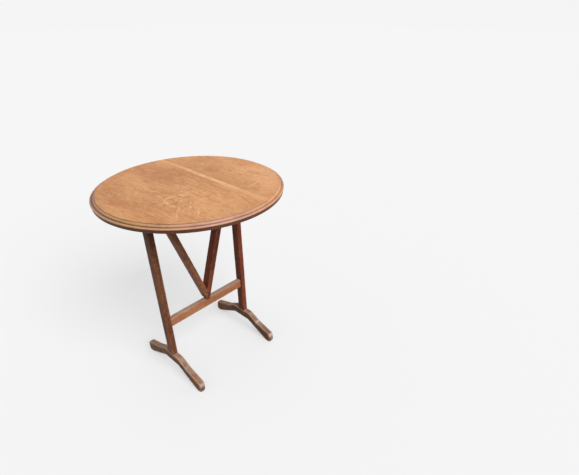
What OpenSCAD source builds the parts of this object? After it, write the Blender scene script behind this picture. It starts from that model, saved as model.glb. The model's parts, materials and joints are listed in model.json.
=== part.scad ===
// Round tilt top table on a trestle frame, with a turning V that holds the top level.
// The frame stands across X, its feet run along Y, and the top tilts about X.
// The origin is on the floor, under the middle of the top.

/* [Table top] */
// Diameter over the moulded rim
top_d = 620; // [500:5:760]
// Thickness of the top
top_t = 23; // [20:0.5:30]
// Height of the playing face above the floor, with the top level
table_h = 720; // [600:5:800]
// Distance from the middle of the top to the joint between its two boards
joint_x = 65; // [40:1:100]
// Thickness of the loose tongue in that joint
tongue_t = 6; // [4:0.5:8]
// Width of the loose tongue, half in each board
tongue_w = 18; // [12:1:26]

/* [Rim moulding] */
// Width of the rim moulding, from the flat face to the outermost edge
rim_w = 16.5; // [15.5:0.5:22]
// Depth of the quirk, the step down at the edge of the face
quirk = 1.5; // [1:0.1:2.5]
// Width of the ovolo outside the quirk
ovolo_w = 7.5; // [6:0.25:8]
// Height of the ovolo
ovolo_h = 5.5; // [4:0.1:6.5]
// Radius of the bead at the widest part of the rim
bead_r = 3.4; // [2.5:0.1:4]
// Setback of the plain band below the bead
band_back = 2.4; // [1:0.1:3]

/* [Battens] */
// Length of each batten, along X
batten_l = 372; // [360:2:420]
// Width of each batten, along Y
batten_w = 28; // [24:1:50]
// Thickness of each batten
batten_t = 19; // [16:0.5:24]
// Distance from the hinge to the near side of each batten
batten_y = 172; // [168:1:190]

/* [Frame] */
// Distance between the middles of the two uprights
frame_w = 361; // [350:1:375]
// Thickness of an upright, along X
upright_t = 21; // [18:0.5:26]
// Width of an upright, along Y
upright_w = 31; // [27:0.5:40]
// Height of the top of the stretcher
stretcher_z = 247; // [200:1:300]
// Height of the stretcher's section
stretcher_h = 34; // [26:0.5:40]
// Thickness of the stretcher's section
stretcher_t = 20; // [18:0.5:26]

/* [Feet] */
// Length of a foot
foot_l = 352; // [320:2:420]
// Width of a foot
foot_w = 23; // [22:0.5:34]
// Height of the seat where the upright stands
foot_seat_z = 87; // [80:0.5:100]
// Length of the flat seat
foot_seat_l = 92; // [80:1:110]
// Height of the arch under the foot
foot_arch_z = 52; // [40:0.5:52]
// Height of a toe
toe_h = 39; // [32:0.5:44]
// Length of the pad under each toe
pad_l = 24; // [18:1:50]

/* [Tilt hinge] */
// Drop from the underside of the top to the hinge axis
hinge_drop = 15; // [14.5:0.1:18]
// Diameter of the hinge pins
hinge_d = 12; // [9:0.5:14]
// Length of the cleats that carry the pins, along Y
cleat_l = 140; // [110:1:180]
// Thickness of the cleats, along X
cleat_t = 22; // [16:0.5:26]
// Depth of the cleats below the top
cleat_h = 34; // [30:0.5:40]

/* [Turning support] */
// Angle of each arm from the vertical
arm_angle = 18; // [14:0.5:19]
// Thickness of an arm, in the plane of the V
arm_t = 20; // [16:0.5:24]
// Width of an arm, across the plane of the V
arm_w = 33; // [26:0.5:36]
// Height of the crossbar that joins the arms
crossbar_h = 24; // [20:0.5:30]
// Length by which the crossbar passes each arm
crossbar_over = 7; // [4:0.5:9]
// Radius of the heel's outer corners
heel_round = 7; // [2:0.5:8]
// Diameter of the pin that the V turns on
turn_d = 10; // [8:0.5:12]
// Diameter of that pin's head, sunk in the underside of the stretcher
turn_head_d = 14; // [13:0.5:15]

/* [Joints and fixings] */
// Thickness of the tenons
tenon_t = 8; // [6:0.5:10]
// Shoulder left round a tenon's ends
shoulder = 4; // [2:0.5:5]
// Depth of the stretcher's tenons in the uprights
stretcher_tenon = 14; // [10:0.5:16]
// Depth of the uprights' tenons in the feet
upright_tenon = 26; // [20:0.5:28]
// Depth of the arms' tenons in the crossbar
arm_tenon = 16; // [12:0.5:18]
// Diameter of the drawbore pegs
peg_d = 6; // [5:0.5:7]
// Diameter of the screw shanks
screw_d = 4.5; // [3.5:0.25:5]
// Diameter of the screw heads
screw_head_d = 9; // [8:0.25:11]
// Width of the slot in a screw head
screw_slot = 1.1; // [0.8:0.1:1.5]
// Depth that the screws reach into the top
screw_bite = 12; // [8:0.5:14]

/* [Clearances] */
// Radial clearance of a pin that turns
run_gap = 0.05; // [0.03:0.01:0.09]
// Clearance between a moving piece and the piece it passes or rests on
rest_gap = 0.4; // [0.3:0.05:0.5]

/* [Hidden] */
$fn = 64;

top_r = top_d / 2;
face_r = top_r - rim_w;
underside_z = table_h - top_t;
hinge_z = underside_z - hinge_drop;
upright_x = frame_w / 2;
upright_in_x = upright_x - upright_t / 2;
upright_out_x = upright_x + upright_t / 2;
round_r = hinge_drop - rest_gap;
cleat_x = upright_out_x + rest_gap;
foot_half = foot_l / 2;
stretcher_mid_z = stretcher_z - stretcher_h / 2;

// the V: its heel stands on the stretcher, its crossbar lies just under the top
heel_z = stretcher_z + rest_gap;
vertex_z = heel_z + arm_t * 0.66;
crossbar_top_z = underside_z - rest_gap;
crossbar_z = crossbar_top_z - crossbar_h;
arm_half_x = arm_t / 2 / cos(arm_angle);
crotch_z = vertex_z + arm_t / 2 / sin(arm_angle);
arm_top_x = (crossbar_z - vertex_z) * tan(arm_angle);
crossbar_half = arm_top_x + arm_half_x + crossbar_over;
heel_peg_z = crotch_z - peg_d - 9;
turn_top_z = heel_peg_z - peg_d / 2 - 4;
turn_head_h = 3;
turn_seat_z = stretcher_z - stretcher_h + turn_head_h + rest_gap + 0.6;

batten_screws_x = [-160, -65, joint_x - 30, joint_x + 30, 165];
cleat_screws_y = [-1, 1] * (cleat_l / 2 - 20);
head_h = (screw_head_d - screw_d) / 2;

// the two ends of a length about its middle
function span(middle, length) = [middle - length / 2, middle + length / 2];

// unit vector, and the arc that rounds the corner q between p and s
function unit(v) = v / norm(v);
function corner(p, q, s, r, n = 8) =
    let (
        u = unit(p - q), v = unit(s - q), half = acos(u * v) / 2,
        c = q + unit(u + v) * r / sin(half),
        a = q + u * r / tan(half) - c, b = q + v * r / tan(half) - c,
        a0 = atan2(a[1], a[0]), turn = (atan2(b[1], b[0]) - a0 + 540) % 360 - 180
    )
    [for (i = [0:n]) c + r * [cos(a0 + turn * i / n), sin(a0 + turn * i / n)]];

// closed outline from [x, y, radius] points; a radius of 0 keeps the corner sharp
function outline(pts) =
    let (n = len(pts), at = function (i) let (p = pts[(i + n) % n]) [p[0], p[1]])
    [for (i = [0:n - 1]) each pts[i][2] == 0
        ? [at(i)]
        : corner(at(i - 1), at(i), at(i + 1), pts[i][2])];

function mirrored(pts) = [for (i = [len(pts) - 1:-1:0]) [-pts[i][0], pts[i][1], pts[i][2]]];

module colour_face() { color([0.74, 0.48, 0.24]) children(); }
module colour_frame() { color([0.42, 0.24, 0.16]) children(); }
module colour_foot() { color([0.47, 0.32, 0.25]) children(); }
module colour_stretcher() { color([0.62, 0.37, 0.22]) children(); }
module colour_peg() { color([0.33, 0.19, 0.12]) children(); }
module colour_iron() { color([0.25, 0.24, 0.23]) children(); }

// extrudes a YZ outline along X, or an XZ outline along Y, centred on the plane
module along_x(width) { rotate([90, 0, 90]) linear_extrude(width, center = true) children(); }
module along_y(width) { rotate([90, 0, 0]) linear_extrude(width, center = true) children(); }

module block(x, y, z) {
    translate([x[0], y[0], z[0]]) cube([x[1] - x[0], y[1] - y[0], z[1] - z[0]]);
}

// ---- top ----

// Section of the top: a quirk at the face, an ovolo, a valley, a bead, and a plain band set back below it
module top_section() {
    bead_top = top_t - quirk - ovolo_h;
    bead_x = top_r - bead_r;
    lip_x = face_r + ovolo_w;
    polygon(concat(
        [[0, 0], [top_r - band_back, 0], [top_r - band_back, bead_top - 2 * bead_r]],
        [for (a = [-60:15:135]) [bead_x + bead_r * cos(a), bead_top - bead_r + bead_r * sin(a)]],
        [[lip_x, bead_top - bead_r * 0.29]],
        [for (a = [0:15:90]) [face_r + ovolo_w * cos(a), bead_top + ovolo_h * sin(a)]],
        [[face_r, top_t], [0, top_t]]
    ));
}

module top_disc() { translate([0, 0, underside_z]) rotate_extrude($fn = 128) top_section(); }

tongue_z = span(underside_z + top_t / 2, tongue_t);
tongue_y = [-1, 1] * (sqrt(pow(face_r, 2) - pow(joint_x + tongue_w / 2, 2)) - 12);

module tongue_block() {
    block(span(joint_x, tongue_w), tongue_y, tongue_z);
}

// screws that hold a batten or a cleat, with their heads in its lower face
module screw(depth, slot = true) {
    difference() {
        union() {
            cylinder(h = depth + screw_bite, d = screw_d, $fn = 24);
            cylinder(h = head_h, d1 = screw_head_d, d2 = screw_d, $fn = 32);
        }
        if (slot) cube([screw_head_d + 1, screw_slot, 2.5 * screw_slot], center = true);
    }
}

module batten_screws(side, slot = true) {
    for (x = batten_screws_x)
        translate([x, side * (batten_y + batten_w / 2), underside_z - batten_t])
            screw(batten_t, slot);
}

module cleat_screws(side, slot = true) {
    for (y = cleat_screws_y)
        translate([side * (cleat_x + cleat_t / 2), y, underside_z - cleat_h])
            screw(cleat_h, slot);
}

module all_screws() {
    for (side = [-1, 1]) {
        batten_screws(side, false);
        cleat_screws(side, false);
    }
}

module top_board_wide() {
    colour_face() difference() {
        intersection() {
            top_disc();
            block([-top_d, joint_x], span(0, 2 * top_d), [0, table_h]);
        }
        tongue_block();
        all_screws();
    }
}

module top_board_narrow() {
    colour_face() difference() {
        intersection() {
            top_disc();
            block([joint_x, top_d], span(0, 2 * top_d), [0, table_h]);
        }
        tongue_block();
        all_screws();
    }
}

module top_tongue() { colour_peg() tongue_block(); }

// Batten with sloped ends
module batten(side) {
    end = batten_l / 2;
    colour_frame() difference() {
        translate([0, side * (batten_y + batten_w / 2), underside_z])
            along_y(batten_w)
                polygon([[-end, 0], [-end, -batten_t * 0.45], [-end + 7, -batten_t],
                    [end - 7, -batten_t], [end, -batten_t * 0.45], [end, 0]]);
        batten_screws(side, false);
    }
}

// ---- tilt hinge ----

module pivot_cleat(side) {
    half = cleat_l / 2;
    colour_frame() difference() {
        translate([side * (cleat_x + cleat_t / 2), 0, underside_z])
            along_x(cleat_t)
                polygon(outline([[half, 0, 0], [-half, 0, 0], [-half, -cleat_h, 12], [half, -cleat_h, 12]]));
        hinge_hole(side, 0);
        cleat_screws(side, false);
    }
}

module hinge_hole(side, gap) {
    translate([side * (upright_in_x - 1), 0, hinge_z])
        rotate([0, side * 90, 0])
            cylinder(h = cleat_x + cleat_t - upright_in_x + 2, d = hinge_d + 2 * gap);
}

module pivot_pin(side) {
    colour_peg()
        translate([side * upright_in_x, 0, hinge_z])
            rotate([0, side * 90, 0])
                cylinder(h = cleat_x + cleat_t - upright_in_x, d = hinge_d);
}

// Section across the frame, whose head is round about the hinge, so that the top turns over it
module head_section(width) {
    half = width / 2;
    neck_z = hinge_z - half;
    polygon([[-half, foot_seat_z], [half, foot_seat_z], [half, neck_z],
        [round_r, hinge_z], [-round_r, hinge_z], [-half, neck_z]]);
    translate([0, hinge_z]) circle(r = round_r);
}

// ---- frame ----

module upright(side) {
    colour_frame() difference() {
        union() {
            translate([side * upright_x, 0, 0]) along_x(upright_t) head_section(upright_w);
            upright_tenon_block(side);
        }
        hinge_hole(side, run_gap);
        stretcher_tenon_block(side);
        stretcher_peg_hole(side);
        foot_peg_hole(side);
    }
}

module upright_tenon_block(side) {
    block(span(side * upright_x, tenon_t), span(0, upright_w - 2 * shoulder),
        [foot_seat_z - upright_tenon, foot_seat_z]);
}

module stretcher_tenon_block(side) {
    x = side > 0 ? [upright_in_x, upright_in_x + stretcher_tenon]
        : [-upright_in_x - stretcher_tenon, -upright_in_x];
    block(x, span(0, tenon_t), span(stretcher_mid_z, stretcher_h - 2 * shoulder));
}

module stretcher_peg_hole(side) {
    translate([side * (upright_in_x + stretcher_tenon / 2), 0, stretcher_mid_z])
        rotate([90, 0, 0]) cylinder(h = upright_w, d = peg_d, center = true, $fn = 32);
}

module foot_peg_hole(side) {
    translate([side * upright_x, 0, foot_seat_z - upright_tenon / 2])
        rotate([0, 90, 0]) cylinder(h = foot_w, d = peg_d, center = true, $fn = 32);
}

module stretcher() {
    colour_stretcher() difference() {
        union() {
            block([-upright_in_x, upright_in_x], span(0, stretcher_t), span(stretcher_mid_z, stretcher_h));
            for (side = [-1, 1]) stretcher_tenon_block(side);
        }
        translate([0, 0, stretcher_z - stretcher_h - 1])
            cylinder(h = stretcher_h + 2, d = turn_d + 2 * run_gap);
        translate([0, 0, stretcher_z - stretcher_h - 1])
            cylinder(h = turn_seat_z - stretcher_z + stretcher_h + 1, d = turn_head_d + 2 * rest_gap);
        for (side = [-1, 1]) stretcher_peg_hole(side);
    }
}

// Foot with a flat seat, a break on each slope, long toes and an arched underside
module foot_section() {
    break_y = foot_seat_l / 2 + (foot_half - foot_seat_l / 2) * 0.35;
    break_z = (toe_h + foot_seat_z) / 2;
    half = [
        [foot_seat_l / 2, foot_seat_z, 12],
        [break_y, break_z, 40],
        [foot_half - 4, toe_h, 9],
        [foot_half, toe_h / 2, 12],
        [foot_half - 4, 0, 6],
        [foot_half - pad_l, 0, 12],
        [foot_seat_l / 2 - 4, foot_arch_z, 24],
    ];
    polygon(outline(concat(half, mirrored(half))));
}

module foot(side) {
    colour_foot() difference() {
        translate([side * upright_x, 0, 0]) along_x(foot_w) foot_section();
        upright_tenon_block(side);
        foot_peg_hole(side);
    }
}

// ---- turning support ----

// Both arms of the V, from the heel on the stretcher up to the crossbar
module arm_section() {
    foot_x = arm_half_x - (vertex_z - heel_z) * tan(arm_angle);
    polygon(outline([
        [0, heel_z, 0],
        [foot_x, heel_z, heel_round],
        [arm_top_x + arm_half_x, crossbar_z, 0],
        [arm_top_x - arm_half_x, crossbar_z, 0],
        [0, crotch_z, 0],
    ]));
}

module arm_tenon_block(side) {
    block(span(side * arm_top_x, 2 * (arm_half_x - shoulder)), span(0, tenon_t),
        [crossbar_z, crossbar_z + arm_tenon]);
}

// Keeps the head of the V clear of the top as it tilts past
module within_head() {
    intersection() {
        children();
        along_x(frame_w) head_section(arm_w);
    }
}

module support_arm(side) {
    colour_frame() difference() {
        union() {
            within_head() mirror([side < 0 ? 1 : 0, 0, 0]) along_y(arm_w) arm_section();
            arm_tenon_block(side);
        }
        turn_shank();
        heel_peg_hole();
        crossbar_peg_hole(side);
    }
}

module support_crossbar() {
    colour_frame() difference() {
        within_head() block([-crossbar_half, crossbar_half], span(0, arm_w), [crossbar_z, crossbar_top_z]);
        for (side = [-1, 1]) {
            arm_tenon_block(side);
            crossbar_peg_hole(side);
        }
    }
}

module crossbar_peg_hole(side) {
    within_head() translate([side * arm_top_x, 0, crossbar_z + arm_tenon / 2])
        rotate([90, 0, 0]) cylinder(h = arm_w, d = peg_d, center = true, $fn = 32);
}

// Peg through the heel, cut flush with the outer faces of the arms
module heel_peg_hole() {
    intersection() {
        translate([0, 0, heel_peg_z]) rotate([0, 90, 0])
            cylinder(h = 4 * arm_half_x, d = peg_d, center = true, $fn = 32);
        for (side = [0, 1]) mirror([side, 0, 0]) along_y(arm_w) arm_section();
    }
}

module turn_shank() {
    translate([0, 0, heel_z]) cylinder(h = turn_top_z - heel_z, d = turn_d);
}

// Pin with a round head that keeps the V from lifting
module support_pivot_pin() {
    head_top = turn_seat_z - rest_gap;
    colour_iron() {
        translate([0, 0, head_top]) cylinder(h = turn_top_z - head_top, d = turn_d);
        translate([0, 0, head_top - turn_head_h]) cylinder(h = turn_head_h, d = turn_head_d);
    }
}

top_board_wide();
top_board_narrow();
top_tongue();
batten(-1);  // batten_front
batten(1);  // batten_rear
colour_iron() batten_screws(-1);  // batten_front_screws
colour_iron() batten_screws(1);  // batten_rear_screws
pivot_cleat(-1);  // pivot_cleat_left
pivot_cleat(1);  // pivot_cleat_right
colour_iron() cleat_screws(-1);  // cleat_left_screws
colour_iron() cleat_screws(1);  // cleat_right_screws
pivot_pin(-1);  // pivot_pin_left
pivot_pin(1);  // pivot_pin_right
upright(-1);  // upright_left
upright(1);  // upright_right
stretcher();
colour_peg() stretcher_peg_hole(-1);  // stretcher_peg_left
colour_peg() stretcher_peg_hole(1);  // stretcher_peg_right
foot(-1);  // foot_left
foot(1);  // foot_right
colour_peg() foot_peg_hole(-1);  // foot_peg_left
colour_peg() foot_peg_hole(1);  // foot_peg_right
support_arm(-1);  // support_arm_left
support_arm(1);  // support_arm_right
support_crossbar();
colour_peg() crossbar_peg_hole(-1);  // crossbar_peg_left
colour_peg() crossbar_peg_hole(1);  // crossbar_peg_right
colour_peg() heel_peg_hole();  // support_heel_peg
support_pivot_pin();
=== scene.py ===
import json
import math

import bmesh
import bpy
import numpy as np
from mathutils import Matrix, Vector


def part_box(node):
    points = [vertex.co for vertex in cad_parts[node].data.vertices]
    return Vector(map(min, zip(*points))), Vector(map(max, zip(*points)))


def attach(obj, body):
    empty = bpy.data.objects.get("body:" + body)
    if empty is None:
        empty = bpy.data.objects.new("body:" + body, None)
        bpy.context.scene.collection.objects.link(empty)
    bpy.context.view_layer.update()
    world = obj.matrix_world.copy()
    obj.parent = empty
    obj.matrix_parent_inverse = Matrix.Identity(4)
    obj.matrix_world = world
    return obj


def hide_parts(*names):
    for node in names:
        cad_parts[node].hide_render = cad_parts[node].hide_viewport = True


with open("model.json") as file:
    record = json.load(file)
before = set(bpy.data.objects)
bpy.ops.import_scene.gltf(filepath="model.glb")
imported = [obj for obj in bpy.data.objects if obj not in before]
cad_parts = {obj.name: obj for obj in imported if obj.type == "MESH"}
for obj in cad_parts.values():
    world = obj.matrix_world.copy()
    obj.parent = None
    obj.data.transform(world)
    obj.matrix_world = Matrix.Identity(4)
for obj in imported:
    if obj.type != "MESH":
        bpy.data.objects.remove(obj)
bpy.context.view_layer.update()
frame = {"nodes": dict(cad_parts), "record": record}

mm = 0.001
bodyOf = {node: body for body, members in frame["record"]["behaviour"]["bodies"].items() for node in members}
slotOf = {part["node"]: part["material_slot"] for part in frame["record"]["subparts"]}
hingeZ = next(j["pos_m"][2] for j in frame["record"]["behaviour"]["joints"] if j["name"] == "top_tilt")


# colours

def toLinear(colour):
    # a display colour, 0 to 255, as the linear colour that shaders take
    c = np.array(colour) / 255
    return (*np.where(c <= 0.04045, c / 12.92, ((c + 0.055) / 1.055) ** 2.4), 1.0)


def mixPaints(values):
    # a palette: its colours made linear, its plain numbers as they are
    return {name: toLinear(v) if isinstance(v, tuple) else v for name, v in values.items()}


# nodes

class Wire:
    # a socket that takes + - and * as a number does: each sign makes one Math node
    def __init__(self, socket):
        self.socket = socket
        self.tree = socket.id_data

    def __add__(self, other):
        return calc("ADD", self, other)

    def __sub__(self, other):
        return calc("SUBTRACT", self, other)

    def __rsub__(self, other):
        return calc("SUBTRACT", other, self)

    def __mul__(self, other):
        return calc("MULTIPLY", self, other)


def put(tree, kind, **settings):
    node = tree.nodes.new(kind)
    for name, value in settings.items():
        setattr(node, name, value)
    return node


def join(value, socket):
    # a wire is linked, a number or a colour is written in
    if isinstance(value, Wire):
        value.tree.links.new(value.socket, socket)
    else:
        socket.default_value = value


def feed(kind, given, **settings):
    # a new node, its inputs given by name or number, in the tree of the first wire among them
    tree = next(value.tree for value in given.values() if isinstance(value, Wire))
    node = put(tree, kind, **settings)
    for name, value in given.items():
        join(value, node.inputs[name])
    return node


def calc(operation, *values, clamp=False):
    node = feed("ShaderNodeMath", dict(enumerate(values)), operation=operation, use_clamp=clamp)
    return Wire(node.outputs[0])


def vectorCalc(operation, *values, out=0):
    node = feed("ShaderNodeVectorMath", dict(enumerate(values)), operation=operation)
    return Wire(node.outputs[out])


def placed(vector, place=(0, 0, 0), turn=(0, 0, 0), scale=(1, 1, 1)):
    given = {"Vector": vector, "Location": place, "Rotation": turn, "Scale": scale}
    return Wire(feed("ShaderNodeMapping", given).outputs[0])


def cloud(vector, scale, detail=2.0, rough=0.5, twist=0.0):
    # noise, 0 to 1: one scale all round, or three along X, Y and Z
    if isinstance(scale, tuple):
        vector = placed(vector, scale=scale)
        scale = 1.0
    given = {"Vector": vector, "Scale": scale, "Detail": detail, "Roughness": rough, "Distortion": twist}
    return Wire(feed("ShaderNodeTexNoise", given).outputs["Fac"])


def span(value, low, high, toLow=0.0, toHigh=1.0, kind="SMOOTHSTEP"):
    # the value taken from low..high to toLow..toHigh
    given = {"Value": value, "From Min": low, "From Max": high, "To Min": toLow, "To Max": toHigh}
    return Wire(feed("ShaderNodeMapRange", given, interpolation_type=kind).outputs[0])


def tint(amount, under, over):
    return Wire(feed("ShaderNodeMix", {0: amount, 6: under, 7: over}, data_type="RGBA").outputs[2])


def stain(tone, palette, *layers):
    # colours laid over a tone, one after another: each layer is a mask and a colour's name
    for mask, name in layers:
        tone = tint(mask, tone, palette[name])
    return tone


def split(vector):
    return [Wire(socket) for socket in feed("ShaderNodeSeparateXYZ", {0: vector}).outputs]


def mark(tree, name):
    return Wire(put(tree, "ShaderNodeAttribute", attribute_name=name).outputs["Fac"])


def makeGroup(name, work, **inputs):
    # a shared effect: inputs with their first values, tuples as vectors, and the outputs that work gives
    tree = bpy.data.node_groups.new(name, "ShaderNodeTree")
    for label, value in inputs.items():
        kind = "NodeSocketVector" if isinstance(value, tuple) else "NodeSocketFloat"
        tree.interface.new_socket(label, in_out="INPUT", socket_type=kind).default_value = value
    results = work({socket.name: Wire(socket) for socket in tree.nodes.new("NodeGroupInput").outputs})
    for label in results:
        tree.interface.new_socket(label, in_out="OUTPUT", socket_type="NodeSocketFloat")
    out = tree.nodes.new("NodeGroupOutput")
    for label, value in results.items():
        join(value, out.inputs[label])
    return tree


def use(group, **values):
    # the effect placed in a material with its own values: its outputs by name
    return {socket.name: Wire(socket) for socket in feed("ShaderNodeGroup", values, node_tree=group).outputs}


# light, floor and camera

studio = mixPaints({
    "paper": (245, 245, 245),           # floor and backdrop as the camera sees them
    "sky": (250, 250, 252),
    "skyStrength": 0.50,
    "sunStrength": 2.4,
    "sunElevation": math.radians(41),
    "sunAzimuth": math.radians(-6),     # 0 comes from -Y, -90 from -X
    "sunSize": math.radians(40),
    "shadow": 0.5,                      # depth of the shadow that the camera sees on the floor
    "bounce": 0.27,                     # how much light the floor throws back up
    "floorLift": 1.04,                  # brings the lit floor up to the backdrop
    "floorHalf": 30.0,
})

cameraSet = {
    "place": (-0.711, -1.094, 1.214),
    "heading": math.radians(-47.8),
    "pitch": math.radians(32.1),
    "lens": 25.03,
    "shiftX": -0.0022,
    "shiftY": 0.0383,
}


def makeCamera(c):
    data = bpy.data.cameras.new("camera")
    data.sensor_width = 36
    data.lens = c["lens"]
    data.shift_x = c["shiftX"]
    data.shift_y = c["shiftY"]
    camera = bpy.data.objects.new("camera", data)
    camera.location = c["place"]
    camera.rotation_euler = (math.pi / 2 - c["pitch"], 0, c["heading"])
    bpy.context.scene.collection.objects.link(camera)
    bpy.context.scene.camera = camera


def emptyNodes(owner):
    owner.use_nodes = True
    owner.node_tree.nodes.clear()
    return owner.node_tree


def plainShader(tree, kind, colour, strength=1.0):
    node = put(tree, kind)
    node.inputs["Color"].default_value = colour
    if "Strength" in node.inputs:
        node.inputs["Strength"].default_value = strength
    return Wire(node.outputs[0])


def mixShaders(amount, first, second):
    return Wire(feed("ShaderNodeMixShader", {0: amount, 1: first, 2: second}).outputs[0])


def endNodes(tree, kind, lit, shown):
    # rays from the camera, or mirrored or let through by a piece, meet shown; all others meet lit
    path = put(tree, "ShaderNodeLightPath").outputs
    rays = Wire(path["Is Camera Ray"])
    for name in ("Is Glossy Ray", "Is Transmission Ray"):
        rays = calc("MAXIMUM", rays, Wire(path[name]))
    join(mixShaders(rays, lit, shown), put(tree, kind).inputs[0])


def makeStudio(s):
    scene = bpy.context.scene
    scene.view_settings.view_transform = "Standard"
    sun = bpy.data.lights.new("windowLight", "SUN")
    sun.energy = s["sunStrength"]
    sun.angle = s["sunSize"]
    lamp = bpy.data.objects.new("windowLight", sun)
    lamp.rotation_euler = (math.pi / 2 - s["sunElevation"], 0, s["sunAzimuth"])
    scene.collection.objects.link(lamp)

    scene.world = bpy.data.worlds.new("room")
    tree = emptyNodes(scene.world)
    sky = plainShader(tree, "ShaderNodeBackground", s["sky"], s["skyStrength"])
    endNodes(tree, "ShaderNodeOutputWorld", sky, plainShader(tree, "ShaderNodeBackground", s["paper"]))

    # the floor meets the backdrop without a line, because it is lit evenly all over
    mesh = bpy.data.meshes.new("floor")
    h = s["floorHalf"]
    mesh.from_pydata([(-h, -h, 0), (h, -h, 0), (h, h, 0), (-h, h, 0)], [], [(0, 1, 2, 3)])
    floor = bpy.data.objects.new("floor", mesh)
    scene.collection.objects.link(floor)
    paper = bpy.data.materials.new("paperFloor")
    mesh.materials.append(paper)
    tree = emptyNodes(paper)
    level = s["sunStrength"] * math.sin(s["sunElevation"]) / math.pi + s["skyStrength"]
    tone = s["paper"][0] / level * s["floorLift"]
    even = plainShader(tree, "ShaderNodeEmission", s["paper"])
    shaded = plainShader(tree, "ShaderNodeBsdfDiffuse", (tone, tone, tone, 1))
    hidden = plainShader(tree, "ShaderNodeBsdfDiffuse", (s["bounce"], s["bounce"], s["bounce"], 1))
    endNodes(tree, "ShaderNodeOutputMaterial", hidden, mixShaders(s["shadow"], even, shaded))


makeCamera(cameraSet)
makeStudio(studio)
print("studio ready")


# meshes

sharpAngle = math.radians(38)


def wander(t, seed, reach, turns=5):
    # a smooth random line: sines of falling strength, each with its own phase
    rng = np.random.default_rng(seed)
    total = np.zeros_like(t)
    for k in range(1, turns + 1):
        total += np.sin(2 * np.pi * (t / reach * k * 0.7 + rng.random())) / k
    return total / 2


def nicks(t, seed, count, depth, width):
    # small dents along a line: narrow bell curves at random places
    rng = np.random.default_rng(seed)
    total = np.zeros_like(t)
    for _ in range(count):
        at = rng.uniform(t.min(), t.max())
        total += depth * rng.uniform(0.3, 1) * np.exp(-(((t - at) / (width * rng.uniform(0.6, 1.6))) ** 2))
    return total


def addPiece(name, mesh, node):
    # a piece that stands for a CAD node, which it hides, on its body
    body = bodyOf[node]
    mesh.shade_smooth()
    mesh.set_sharp_from_angle(angle=sharpAngle)
    piece = bpy.data.objects.new(name, mesh)
    bpy.context.scene.collection.objects.link(piece)
    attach(piece, body)
    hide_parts(node)
    return piece


def tubePiece(name, grid, marks, node):
    # a closed grid as a piece: quads round it, a cap at each end, all turned outwards
    # marks are float attributes, one value a point, that the materials read
    rows, columns = grid.shape[:2]
    i, j = np.meshgrid(np.arange(rows - 1), np.arange(columns), indexing="ij")
    k = (j + 1) % columns
    quads = np.stack([i * columns + j, i * columns + k, (i + 1) * columns + k, (i + 1) * columns + j], -1)
    quads = quads.reshape(-1, 4)
    points = grid.reshape(-1, 3)
    a, b, c = (points[quads[:, n]] for n in range(3))
    middle = points.mean(0)
    volume = np.einsum("ij,ij->i", a - middle, np.cross(b - middle, c - middle)).sum()
    first = list(range(columns))[::-1]
    last = [(rows - 1) * columns + n for n in range(columns)]
    faces = quads.tolist() + [first, last]
    if volume < 0:
        faces = [face[::-1] for face in faces]
    mesh = bpy.data.meshes.new(name)
    mesh.from_pydata(points.tolist(), [], faces)
    for label, values in marks.items():
        layer = mesh.attributes.new(label, "FLOAT", "POINT")
        layer.data.foreach_set("value", np.asarray(values, np.float32).ravel())
    return addPiece(name, mesh, node)


def roundedSections(a, b, r, arc=5, flat=5):
    # rounded rectangles: half widths a and b and four corner radii r, one row a station
    # returns the points and how near each one is to an arris
    points, edges = [], []
    signs = [(1, 1), (-1, 1), (-1, -1), (1, -1)]

    def corner(n, turn):
        radius = r[:, n, None]
        sx, sy = signs[n]
        x = sx * (a[:, None] - radius) + radius * np.cos(turn)
        y = sy * (b[:, None] - radius) + radius * np.sin(turn)
        return np.stack([x, y], -1)

    for n in range(4):
        turn = np.linspace(0, np.pi / 2, arc + 1)[None, :] + n * np.pi / 2
        points.append(corner(n, turn))
        edges.append(np.ones(points[-1].shape[:2]))
        # then along the flat to the next corner
        start = points[-1][:, -1:, :]
        following = (n + 1) % 4
        end = corner(following, following * np.pi / 2)
        w = np.linspace(0, 1, flat + 2)[1:-1][None, :, None]
        points.append(start * (1 - w) + end * w)
        near = np.clip(1 - np.minimum(w, 1 - w)[..., 0] * 5, 0, 1) * 0.4
        edges.append(np.repeat(near, len(a), 0))
    return np.concatenate(points, 1), np.concatenate(edges, 1)


def loftBar(name, centre, across, up, a, b, wear, node, tips=0.0):
    # a bar: a rounded rectangle carried along a line of centres, its arrises worn unevenly
    # tips is how worn the bar is all round at each station
    t = np.linalg.norm(centre - centre[0], axis=1)
    r = np.empty((len(a), 4))
    for k in range(4):
        seed = wear["seed"] * 10 + k
        r[:, k] = wear["radius"] * (1 + 0.45 * wander(t, seed, wear["reach"]))
        r[:, k] += nicks(t, seed + 50, wear["nicks"], wear["nickDepth"], wear["nickWidth"])
    r = np.clip(r + np.reshape(wear["swell"], (-1, 1)), 0.3 * mm, np.minimum(a, b)[:, None] * 0.98)
    section, edge = roundedSections(a, b, r)
    # planed faces are never quite flat
    turns = np.linspace(0, 2 * np.pi, section.shape[1], endpoint=False)[None, :]
    bow = wander(t, wear["seed"] + 7, 0.11)[:, None]
    section = section * (1 - 0.006 * (1 + bow * np.cos(2 * turns + wear["seed"])))[..., None]
    grid = centre[:, None, :] + section[..., :1] * np.array(across) + section[..., 1:] * np.array(up)
    return tubePiece(name, grid, {"edge": np.maximum(edge, np.reshape(tips, (-1, 1)))}, node)


def pointsAt(x, y, z):
    # points along a line, each coordinate an array or one number for all
    return np.stack(np.broadcast_arrays(x, y, z), -1)


def easedLine(t, points, soft):
    # a bent line through the points, its corners eased over the width soft
    xs, ys = np.array(points).T
    offsets = np.linspace(-1, 1, 21)
    return np.mean([np.interp(t + o * soft, xs, ys) for o in offsets], 0)


# the top

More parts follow.
